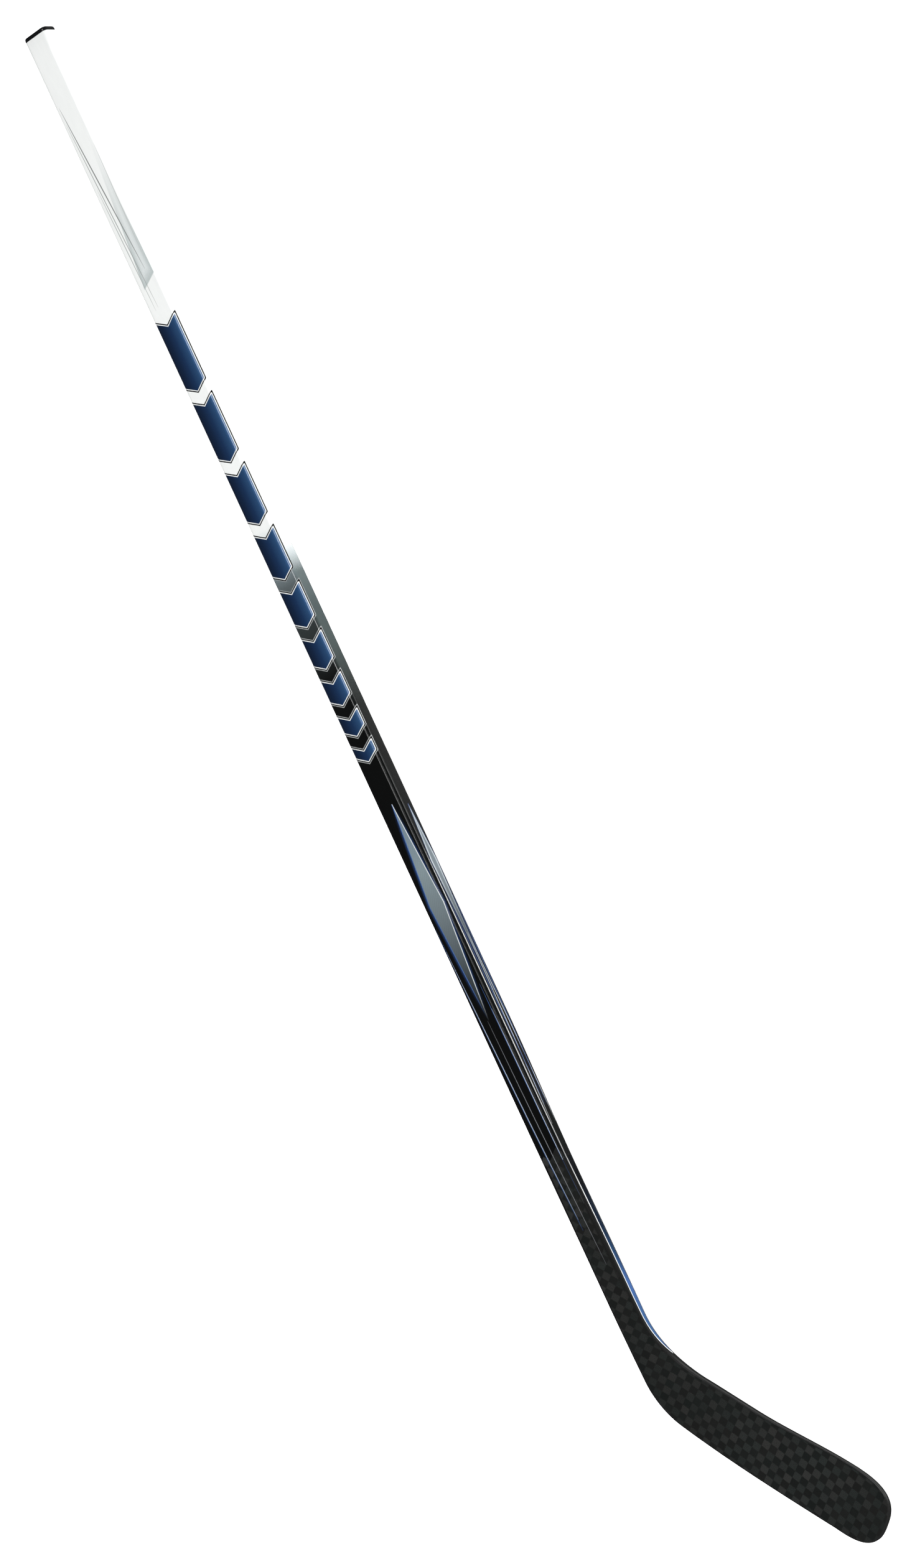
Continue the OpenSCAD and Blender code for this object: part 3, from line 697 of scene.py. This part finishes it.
def weave_material(name, side):
    mt = Mat(name, Specular_IOR_Level=0.3)
    x, y, _ = mt.attr("place")
    colour, height, up, _ = mt.weave(x, y, painted_sheen_along_blade(mt, x, y))
    margin = mt.mul(mt.step(y, 8.6, 11.2), mt.step(x, 1412.0, 1352.0))
    colour = mt.mix(mt.mul(margin, 0.9), colour, (0.0088, 0.0094, 0.0090))
    for mask, tone in pin_lines(mt, x, mt.mul(y, side)):
        colour = mt.mix(mask, colour, tone)
    grain = mt.noise(mt.vec(x, y), 1.6, 2.0, 0.6, "2D")
    rough = mt.add(mt.mad(up, -0.03, 0.30), mt.mad(grain, 0.08, -0.03))
    height = mt.mad(grain, 0.25, height)
    return mt.set(Base_Color=colour, Roughness=rough, Normal=mt.bump(height, 0.00005, 0.6))


def band_material(name, stripe=False, bare=(215.0, 245.0), wrapped=False, until=None):
    mt = Mat(name, Specular_IOR_Level=0.32)
    x, y, around = mt.attr("place")
    along, total, _ = mt.attr("rim")
    colour, height, up, _ = mt.weave(x, y, painted_sheen_along_blade(mt, x, y))
    margin = mt.mul(mt.step(y, 8.6, 11.2), mt.step(x, 1412.0, 1352.0))
    if stripe:
        colour = mt.mix(mt.mul(margin, 0.9), colour, (0.0088, 0.0094, 0.0090))
        for mask, tone in pin_lines(mt, x, y):
            colour = mt.mix(mask, colour, tone)
    # the rim itself: long fibres, a darker skin of resin, and a painted sheen as a lighter band across the middle of
    # its side
    fibre = mt.noise(mt.vec(mt.mul(along, 0.06), mt.mul(around, 3.2)), 1.0, 3.0, 0.6, "2D")
    grain = mt.noise(mt.vec(along, around), 1.7, 2.0, 0.6, "2D")
    rim_colour = mt.mix(fibre, (0.0026, 0.0028, 0.0027), (0.0072, 0.0075, 0.0073))
    if wrapped:
        # round the front of the toe the weave is pulled over the rim
        pulled = mt.mul(mt.step(along, 2.0, 44.0), mt.step(along, bare[1], bare[0]))
        rim_colour = mt.mix(pulled, rim_colour, mt.mix(fibre, (0.0150, 0.0153, 0.0151), (0.0210, 0.0213, 0.0211)))
    across = mt.m("DIVIDE", around, total)
    painted_rim_sheen = mt.mul(mt.mul(mt.step(across, 0.14, 0.24), mt.step(across, 0.50, 0.40)), mt.step(along, *bare))
    if until:
        painted_rim_sheen = mt.mul(painted_rim_sheen, mt.step(along, until[1], until[0]))
    # painted sheen: grey band across the middle of the rim's side, where a lamp's reflection would fall
    rim_colour = mt.mix(mt.mul(painted_rim_sheen, 0.9), rim_colour, (0.042, 0.0424, 0.0418))
    back_in = mt.m("SUBTRACT", total, around)
    inside = mt.m("MINIMUM", around, back_in)
    on_rim = mt.step(inside, -0.5, 0.5)
    colour = mt.mix(on_rim, colour, rim_colour)
    rough = mt.add(mt.mad(up, -0.03, 0.30), mt.mad(grain, 0.08, -0.03))
    if stripe:
        rough = mt.add(rough, mt.mul(on_rim, mt.step(along, 300.0, 400.0, 0.2, 0.0)))
        # blue stripe down the toe side of the hosel, with a white line on its front edge and a round end
        te = mt.lin(along, 194.0, 224.5)
        rise = mt.m("SUBTRACT", 1.0, mt.m("SQRT", mt.m("MAXIMUM", mt.m("SUBTRACT", 1.0, mt.mul(te, te)), 0.0)))
        near = mt.mad(rise, 2.6, mt.step(along, 130.0, 205.0, 4.9, 5.1))
        d = mt.m("SUBTRACT", around, near)
        far = mt.m("SUBTRACT", mt.m("SUBTRACT", total, mt.step(along, 0.0, 190.0, 6.0, 3.7)), around)
        d = mt.m("MINIMUM", d, mt.mul(mt.m("SUBTRACT", 224.5, along), 0.6))
        ends = mt.step(far, -0.1, 0.2)
        streak = mt.noise(mt.vec(mt.mul(along, 0.03), mt.mul(around, 1.1)), 1.0, 2.0, 0.5, "2D")
        blue = mt.ramp(mt.lin(along, 30.0, 190.0), [(0.0, (0.004, 0.005, 0.007)), (0.30, (0.007, 0.018, 0.040)), (0.50, (0.018, 0.052, 0.128)),
                                                    (0.70, (0.050, 0.120, 0.335)), (0.88, (0.043, 0.106, 0.260)), (1.0, (0.033, 0.095, 0.235))])
        # painted highlight: the blue is paler next to the white line
        pale = mt.mix(0.5, blue, (0.10, 0.21, 0.42))
        blue = mt.mix(mt.mul(mt.step(d, 3.0, 1.0), mt.step(along, 70.0, 130.0)), blue, pale)
        blue = mt.mix(1.0, blue, mt.vec(*[mt.mad(streak, 0.7, 0.65)] * 3), "MULTIPLY")
        colour = mt.mix(mt.step(d, -0.95, -0.65), colour, (0.0070, 0.0072, 0.0075))
        blue = mt.mix(mt.mul(mt.step(along, 200.0, 222.0), 0.5), blue, (0.010, 0.045, 0.160))
        colour = mt.mix(mt.mul(mt.step(d, -0.26, -0.04), ends), colour, mt.mix(mt.step(along, 0.0, 55.0), (0.36, 0.37, 0.37), (0.90, 0.92, 0.92)))
        colour = mt.mix(mt.mul(mt.step(d, 0.72, 0.94), ends), colour, blue)
        rough = mt.mix(mt.step(d, -0.9, -0.5), mt.vec(rough, rough, rough), (0.25, 0.25, 0.25))
        rough = mt.parts(rough)[0]
    height = mt.add(mt.mul(height, mt.m("SUBTRACT", 1.0, on_rim)), mt.mul(mt.add(fibre, grain), mt.mul(on_rim, 0.5)))
    return mt.set(Base_Color=colour, Roughness=rough, Normal=mt.bump(height, 0.00005, 0.6))


def plain(name, dark, light, scale, rough, bump=0.00005, detail=3.0, stretch=None, spec=0.3):
    """Moulded or laid-up stuff: two tones of fine grain with a matching bump."""
    mt = Mat(name, Specular_IOR_Level=spec)
    at = mt.place()
    if stretch:
        px, py, pz = mt.parts(at)
        at = mt.vec(mt.mul(px, stretch[0]), mt.mul(py, stretch[1]), mt.mul(pz, stretch[2]))
    a = mt.noise(at, scale, detail, 0.6)
    b = mt.noise(at, scale * 0.13, 2.0, 0.5)
    colour = mt.mix(a, dark, light)
    colour = mt.mix(1.0, colour, mt.vec(*[mt.mad(b, 0.4, 0.8)] * 3), "MULTIPLY")
    return mt.set(Base_Color=colour, Roughness=mt.mad(a, 0.12, rough - 0.06), Normal=mt.bump(a, bump, 0.5))


m_paint = paint_material("gloss_paint")
m_face = weave_material("carbon_front", 1.0)
m_back = weave_material("carbon_back", -1.0)
m_edge = band_material("carbon_edge", until=(360.0, 475.0))
m_stripe = band_material("carbon_edge_striped", True)
m_toe = band_material("carbon_edge_toe", bare=(84.0, 114.0), wrapped=True)
m_cap = plain("moulded_cap", (0.0024, 0.0026, 0.0030), (0.0052, 0.0056, 0.0062), 1500.0, 0.26, 0.00003, spec=0.4)
m_fill = paint_material("seam_paint")
m_fibre = plain("long_fibre", (0.010, 0.010, 0.011), (0.030, 0.031, 0.033), 300.0, 0.5, 0.0001, stretch=(0.05, 3.0, 3.0))
m_wrap = plain("wound_fibre", (0.012, 0.012, 0.013), (0.034, 0.034, 0.036), 420.0, 0.5, 0.0001, stretch=(1.0, 0.6, 0.6))
m_tenon = plain("tenon_block", (0.40, 0.29, 0.16), (0.56, 0.44, 0.28), 260.0, 0.6, 0.0001, stretch=(0.08, 2.0, 2.0))
m_glue = plain("cured_adhesive", (0.52, 0.42, 0.16), (0.66, 0.56, 0.26), 220.0, 0.35)
m_foam = plain("closed_cell_foam", (0.62, 0.59, 0.47), (0.80, 0.77, 0.66), 1400.0, 0.85, 0.0002, spec=0.2)

# ---------------------------------------------------------------- pieces
def along_tube():
    """Rings down the outside of the painted tube, then back up its inside."""
    out = [(X_OPEN, 0.25), (X_OPEN + 0.08, 0.07), (X_OPEN + 0.3, 0.0)]
    out += [(x, 0.0) for x in np.linspace(30.0, 1080.0, 36)]
    out += [(x, 0.0) for x in np.linspace(1090.0, X_JOINT, 40)]
    inn = [(x, OUTER_PLY) for x in (X_JOINT, 1215.0, 1185.0, 1150.0, 1115.0, 1085.0, 800.0, 400.0, X_OPEN)]
    return out, inn


out_s, in_s = along_tube()
rings = [ring(x, o) for x, o in out_s + in_s]
tube_pts = np.array([r[0] for r in rings])
tube_uv = np.array([np.stack([np.full(len(r[1]), s[0]), r[1]], -1) for r, s in zip(rings, out_s + in_s)])


def tube_piece():
    """The painted tube, with its length folded into four rows on the bake's map."""
    n, m = tube_pts.shape[:2]
    ob = piece("shaft_paint_tube", tube_pts, "stick", ["shaft_outer_ply"], [m_paint],
               uv=("unroll", tube_uv), ring=True, caps=False)
    me = ob.data
    n_out = len(out_s)
    uv = np.zeros(len(me.loops) * 2, np.float32)
    un = np.zeros(len(me.loops) * 2, np.float32)
    me.uv_layers["unroll"].uv.foreach_get("vector", un)
    un = un.reshape(-1, 4, 2).astype(float)
    face = np.arange(len(me.polygons))
    k = face // m
    outer = k < n_out - 1
    res = np.zeros((len(face), 4, 2))
    xs_k = np.array([s[0] for s in out_s])
    cuts = [np.abs(xs_k - c).argmin() for c in np.linspace(X_OPEN, X_JOINT, 5)]
    for r in range(4):
        sel = outer & (k >= cuts[r]) & (k < cuts[r + 1])
        x0, x1 = xs_k[cuts[r]], xs_k[cuts[r + 1]]
        res[sel, :, 0] = 0.004 + 0.992 * (un[sel, :, 0] - x0) / (x1 - x0)
        res[sel, :, 1] = 0.95 * (r + 0.01 + 0.98 * un[sel, :, 1] / 91.4) / 4
    sel = ~outer
    order = (k[sel] - (n_out - 1)) / (n - n_out + 1)
    res[sel, :, 1] = (0.955 + 0.04 * (order[:, None] + np.array([0, 0, 1, 1]) / (n - n_out + 1) * 0.95))
    res[sel, :, 0] = 0.004 + 0.992 * un[sel, :, 1] / 91.4
    me.uv_layers["OFBake"].uv.foreach_set("vector", res.astype(np.float32).ravel())
    return ob


tube_piece()

fill_in = 1.6
fill_rings = [(X_JOINT, 0.05), (X_JOINT + 0.2, 0.0), (X_JOINT + 1.0, 0.0), (X_JOINT + SEAM - 0.2, 0.0), (X_JOINT + SEAM, 0.05),
              (X_JOINT + SEAM, fill_in), (X_JOINT, fill_in)]
fill_got = [ring(x, o) for x, o in fill_rings]
fill_pts = np.array([r[0] for r in fill_got])
fill_uv = np.array([np.stack([np.full(len(r[1]), f[0]), r[1]], -1) for r, f in zip(fill_got, fill_rings)])
piece("joint_seam", fill_pts, "stick", ["seam_filler"], [m_fill], uv=("unroll", fill_uv), ring=True, caps=False)


def skin(name, side, node, mat):
    pts, places, weights = skin_points(side)
    return piece(name, pts, "stick", [node], [mat], attrs={"place": places}, shown=weights, rows=3)


skin("blade_face_front", 1, "forehand_skin", m_face)
skin("blade_face_back", -1, "backhand_skin", m_back)


def band(name, which, node, mat, rows):
    pts, places, more = band_points(which)
    return piece(name, pts, "stick", [node], [mat], attrs={"place": places, "rim": more}, rows=rows)


band("blade_edge_lower", "low", "bottom_edge_band", m_edge, 4)
band("blade_edge_upper", "top", "top_edge_band", m_stripe, 4)
band("blade_edge_toe", "toe", "toe_band", m_toe, 2)


def cap_piece():
    """Butt cap: rounded head, three crush ribs on the plug, and the hollow inside the plug."""
    head = [(2.2 * (1 - math.sin(a)), 1.5 * (1 - math.cos(a))) for a in np.radians(np.linspace(90, 0, 9))]
    prof = head + [(HEAD - 1.0, 0.0), (HEAD - 0.45, 0.0), (HEAD - 0.15, 0.10), (HEAD, 0.35), (HEAD, 1.5), (HEAD, 2.6)]
    for q in range(3):
        x = HEAD + 45 * (0.15 + 0.3 * q)
        prof += [(x, 2.6), (x + 0.3, 2.52), (x + 0.7, 2.34), (x + 1.1, 2.3), (x + 2.9, 2.3), (x + 3.3, 2.34), (x + 3.7, 2.52), (x + 4.0, 2.6)]
    end = HEAD + 45
    prof += [(end - 1.2, 2.6), (end - 0.6, 2.75), (end - 0.2, 3.05), (end, 3.4), (end, 4.2), (end - 0.3, 4.7), (end - 1.1, 4.8)]
    prof += [(HEAD + 25, 4.8), (HEAD + 4.3, 4.8), (HEAD + 3, 4.95)]
    loops = [ring(x, o, arcs=8)[0] for x, o in prof]
    pts = np.array(loops)
    n, m = pts.shape[:2]
    verts = [tuple((v - ORG) / 1000) for v in pts.reshape(-1, 3)]
    faces = []
    for k in range(n - 1):
        for j in range(m):
            j1 = (j + 1) % m
            faces.append((k * m + j, (k + 1) * m + j, (k + 1) * m + j1, k * m + j1))

    # end face with a shallow moulded dish, and the floor of the hollow
    def close(first, steps, outward):
        ring0 = pts[first // m]
        centre = ring0.mean(0)
        prev = list(range(first, first + m))
        for scale, dx in steps:
            base = len(verts)
            for v in ring0:
                w = centre + (v - centre) * scale
                w[0] += dx
                verts.append(tuple((w - ORG) / 1000))
            new = list(range(base, base + m))
            for j in range(m):
                j1 = (j + 1) % m
                f = (prev[j], new[j], new[j1], prev[j1])
                faces.append(f if outward else tuple(reversed(f)))
            prev = new
        c = len(verts)
        last = np.array([verts[q] for q in prev]).mean(0)
        verts.append(tuple(last))
        for j in range(m):
            j1 = (j + 1) % m
            f = (prev[j], c, prev[j1])
            faces.append(f if outward else tuple(reversed(f)))

    close(0, [(0.93, 0.0), (0.80, 0.0), (0.74, 0.06), (0.70, 0.25), (0.66, 0.34), (0.4, 0.35)], False)
    close((n - 1) * m, [(0.8, 0.0), (0.4, 0.0)], True)
    a = np.array(verts)
    vol = sum(float(np.dot(a[f[0]], np.cross(a[f[q]], a[f[q + 1]]))) for f in faces for q in range(1, len(f) - 1))
    if vol < 0:
        faces = [tuple(reversed(f)) for f in faces]
    me = bpy.data.meshes.new("butt_cap")
    me.from_pydata(verts, [], faces)
    me.validate()
    for poly in me.polygons:
        poly.use_smooth = True
    me.set_sharp_from_angle(angle=math.radians(40))
    me.materials.append(m_cap)
    ob = bpy.data.objects.new("butt_cap", me)
    bpy.context.scene.collection.objects.link(ob)
    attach(ob, "cap")
    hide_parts("end_cap")
    return ob


cap_piece()

for node, mat in (("shaft_wide_strips", m_fibre), ("shaft_edge_channels", m_fibre), ("shaft_inner_ply", m_wrap),
                  ("tenon_core", m_tenon), ("tenon_wrap", m_wrap), ("tenon_glue", m_glue), ("hosel_core", m_foam),
                  ("heel_core", m_foam), ("blade_core_lower", m_foam), ("core_bridge", m_fibre),
                  ("blade_core_upper", m_foam), ("toe_core", m_foam)):
    slots = nodes[node].data.materials
    slots.clear()
    slots.append(mat)

# ---------------------------------------------------------------- floor, light, camera
scene = bpy.context.scene
fl = bpy.data.meshes.new("floor")
fl.from_pydata([(-9, -9, -0.0004), (9, -9, -0.0004), (9, 9, -0.0004), (-9, 9, -0.0004)], [], [(0, 1, 2, 3)])
floor = bpy.data.objects.new("floor", fl)
scene.collection.objects.link(floor)
# the floor is there for the camera and for soft light, not for mirror images in the gloss
floor.visible_glossy = False
floor.visible_shadow = False
mf = Mat("pale_floor", Roughness=0.9, Specular_IOR_Level=0.0)
f_path, f_geo = mf.nt.nodes.new("ShaderNodeLightPath"), mf.nt.nodes.new("ShaderNodeNewGeometry")
mf.set(Base_Color=(0.93, 0.93, 0.93, 1.0), Emission_Color=(1.0, 1.0, 1.0, 1.0),
       Emission_Strength=mf.mad(f_path.outputs["Is Camera Ray"], 0.3, 0.7),
       Alpha=mf.m("SUBTRACT", 1.0, f_geo.outputs["Backfacing"]))
fl.materials.append(mf.mat)

world = bpy.data.worlds.new("studio")
scene.world = world
world.use_nodes = True
wn = world.node_tree
wn.nodes.clear()
w_out = wn.nodes.new("ShaderNodeOutputWorld")
w_mix = wn.nodes.new("ShaderNodeMixShader")
w_path = wn.nodes.new("ShaderNodeLightPath")
w_dim, w_pale = wn.nodes.new("ShaderNodeBackground"), wn.nodes.new("ShaderNodeBackground")
w_dim.inputs[1].default_value = 1.0
w_at, w_xyz, w_ramp = wn.nodes.new("ShaderNodeTexCoord"), wn.nodes.new("ShaderNodeSeparateXYZ"), wn.nodes.new("ShaderNodeMapRange")
w_ramp.interpolation_type = "SMOOTHSTEP"
for q, v in enumerate((0.0, -0.15, 0.55, 0.30, 0.05)):
    w_ramp.inputs[q].default_value = v
w_low = wn.nodes.new("ShaderNodeMapRange")
w_low.interpolation_type = "SMOOTHSTEP"
for q, v in enumerate((0.0, 0.04, 0.17, 0.34, 0.01)):
    w_low.inputs[q].default_value = v
w_side = wn.nodes.new("ShaderNodeMapRange")
w_side.interpolation_type = "SMOOTHSTEP"
for q, v in enumerate((0.0, -0.05, 0.26, 0.04, 0.34)):
    w_side.inputs[q].default_value = v
wn.links.new(w_xyz.outputs[1], w_side.inputs[0])
wn.links.new(w_side.outputs[0], w_low.inputs[3])
wn.links.new(w_xyz.outputs[0], w_low.inputs[0])
wn.links.new(w_low.outputs[0], w_ramp.inputs[3])
wn.links.new(w_at.outputs["Generated"], w_xyz.inputs[0])
wn.links.new(w_xyz.outputs[2], w_ramp.inputs[0])
wn.links.new(w_ramp.outputs[0], w_dim.inputs[0])
w_pale.inputs[0].default_value, w_pale.inputs[1].default_value = (1.0, 1.0, 1.0, 1.0), 1.0
wn.links.new(w_path.outputs["Is Camera Ray"], w_mix.inputs[0])
wn.links.new(w_dim.outputs[0], w_mix.inputs[1])
wn.links.new(w_pale.outputs[0], w_mix.inputs[2])
wn.links.new(w_mix.outputs[0], w_out.inputs[0])


def softbox(name, place, aim, size_x, size_y, radiance):
    data = bpy.data.lights.new(name, "AREA")
    data.shape, data.size, data.size_y = "RECTANGLE", size_x, size_y
    data.energy = radiance * math.pi * size_x * size_y
    ob = bpy.data.objects.new(name, data)
    scene.collection.objects.link(ob)
    back_z = (Vector(place) - Vector(aim)).normalized()
    side_x = Vector((1, 0, 0))
    side_y = back_z.cross(side_x).normalized()
    side_x = side_y.cross(back_z).normalized()
    ob.matrix_world = Matrix((
        (side_x.x, side_y.x, back_z.x, place[0]), (side_x.y, side_y.y, back_z.y, place[1]),
        (side_x.z, side_y.z, back_z.z, place[2]), (0, 0, 0, 1)))
    ob.visible_camera = False
    return ob


softbox("key", (-0.85, 0.32, 2.4), (-0.85, 0.0, 0.0), 2.1, 0.42, 15.0)
softbox("blade_key", (1.05, 0.25, 2.4), (0.85, 0.0, 0.0), 1.7, 0.7, 7.5).visible_glossy = False
softbox("fill", (0.0, 2.9, 1.25), (0.0, 0.0, 0.0), 3.4, 1.4, 3.6).visible_glossy = False
softbox("far_fill", (0.3, -3.6, 1.1), (0.2, -0.6, 0.0), 5.0, 1.3, 2.6).visible_glossy = False
rim = softbox("rim", (0.5, 2.4, -0.47), (0.5, 0.0, 0.01), 1.25, 0.6, 8.0)
rim.visible_diffuse = False

ROT = np.array([-2.2182122686744394, -1.4216495006574281, 0.4076136708904481])
SHIFT = np.array([-421.0415, -754.5613, 2742.7769])
FOCAL_PX, FRAME_W, FRAME_H = 4387.07, 1472, 2520
angle = np.linalg.norm(ROT)
kx, ky, kz = ROT / angle
K = np.array([[0, -kz, ky], [kz, 0, -kx], [-ky, kx, 0]])
RM = np.eye(3) + math.sin(angle) * K + (1 - math.cos(angle)) * (K @ K)
eye = (-RM.T @ SHIFT - ORG) / 1000
cam_data = bpy.data.cameras.new("camera")
cam_data.sensor_fit = "AUTO"
cam_data.sensor_width = 36.0
cam_data.lens = FOCAL_PX * 36.0 / FRAME_H
cam_data.clip_start, cam_data.clip_end = 0.05, 60.0
cam = bpy.data.objects.new("camera", cam_data)
scene.collection.objects.link(cam)
right, up_v, back_v = RM[0], -RM[1], -RM[2]
cam.matrix_world = Matrix([[right[q], up_v[q], back_v[q], eye[q]] for q in range(3)] + [[0, 0, 0, 1]])
scene.camera = cam
scene.view_settings.view_transform = "Standard"
scene.view_settings.look = "None"
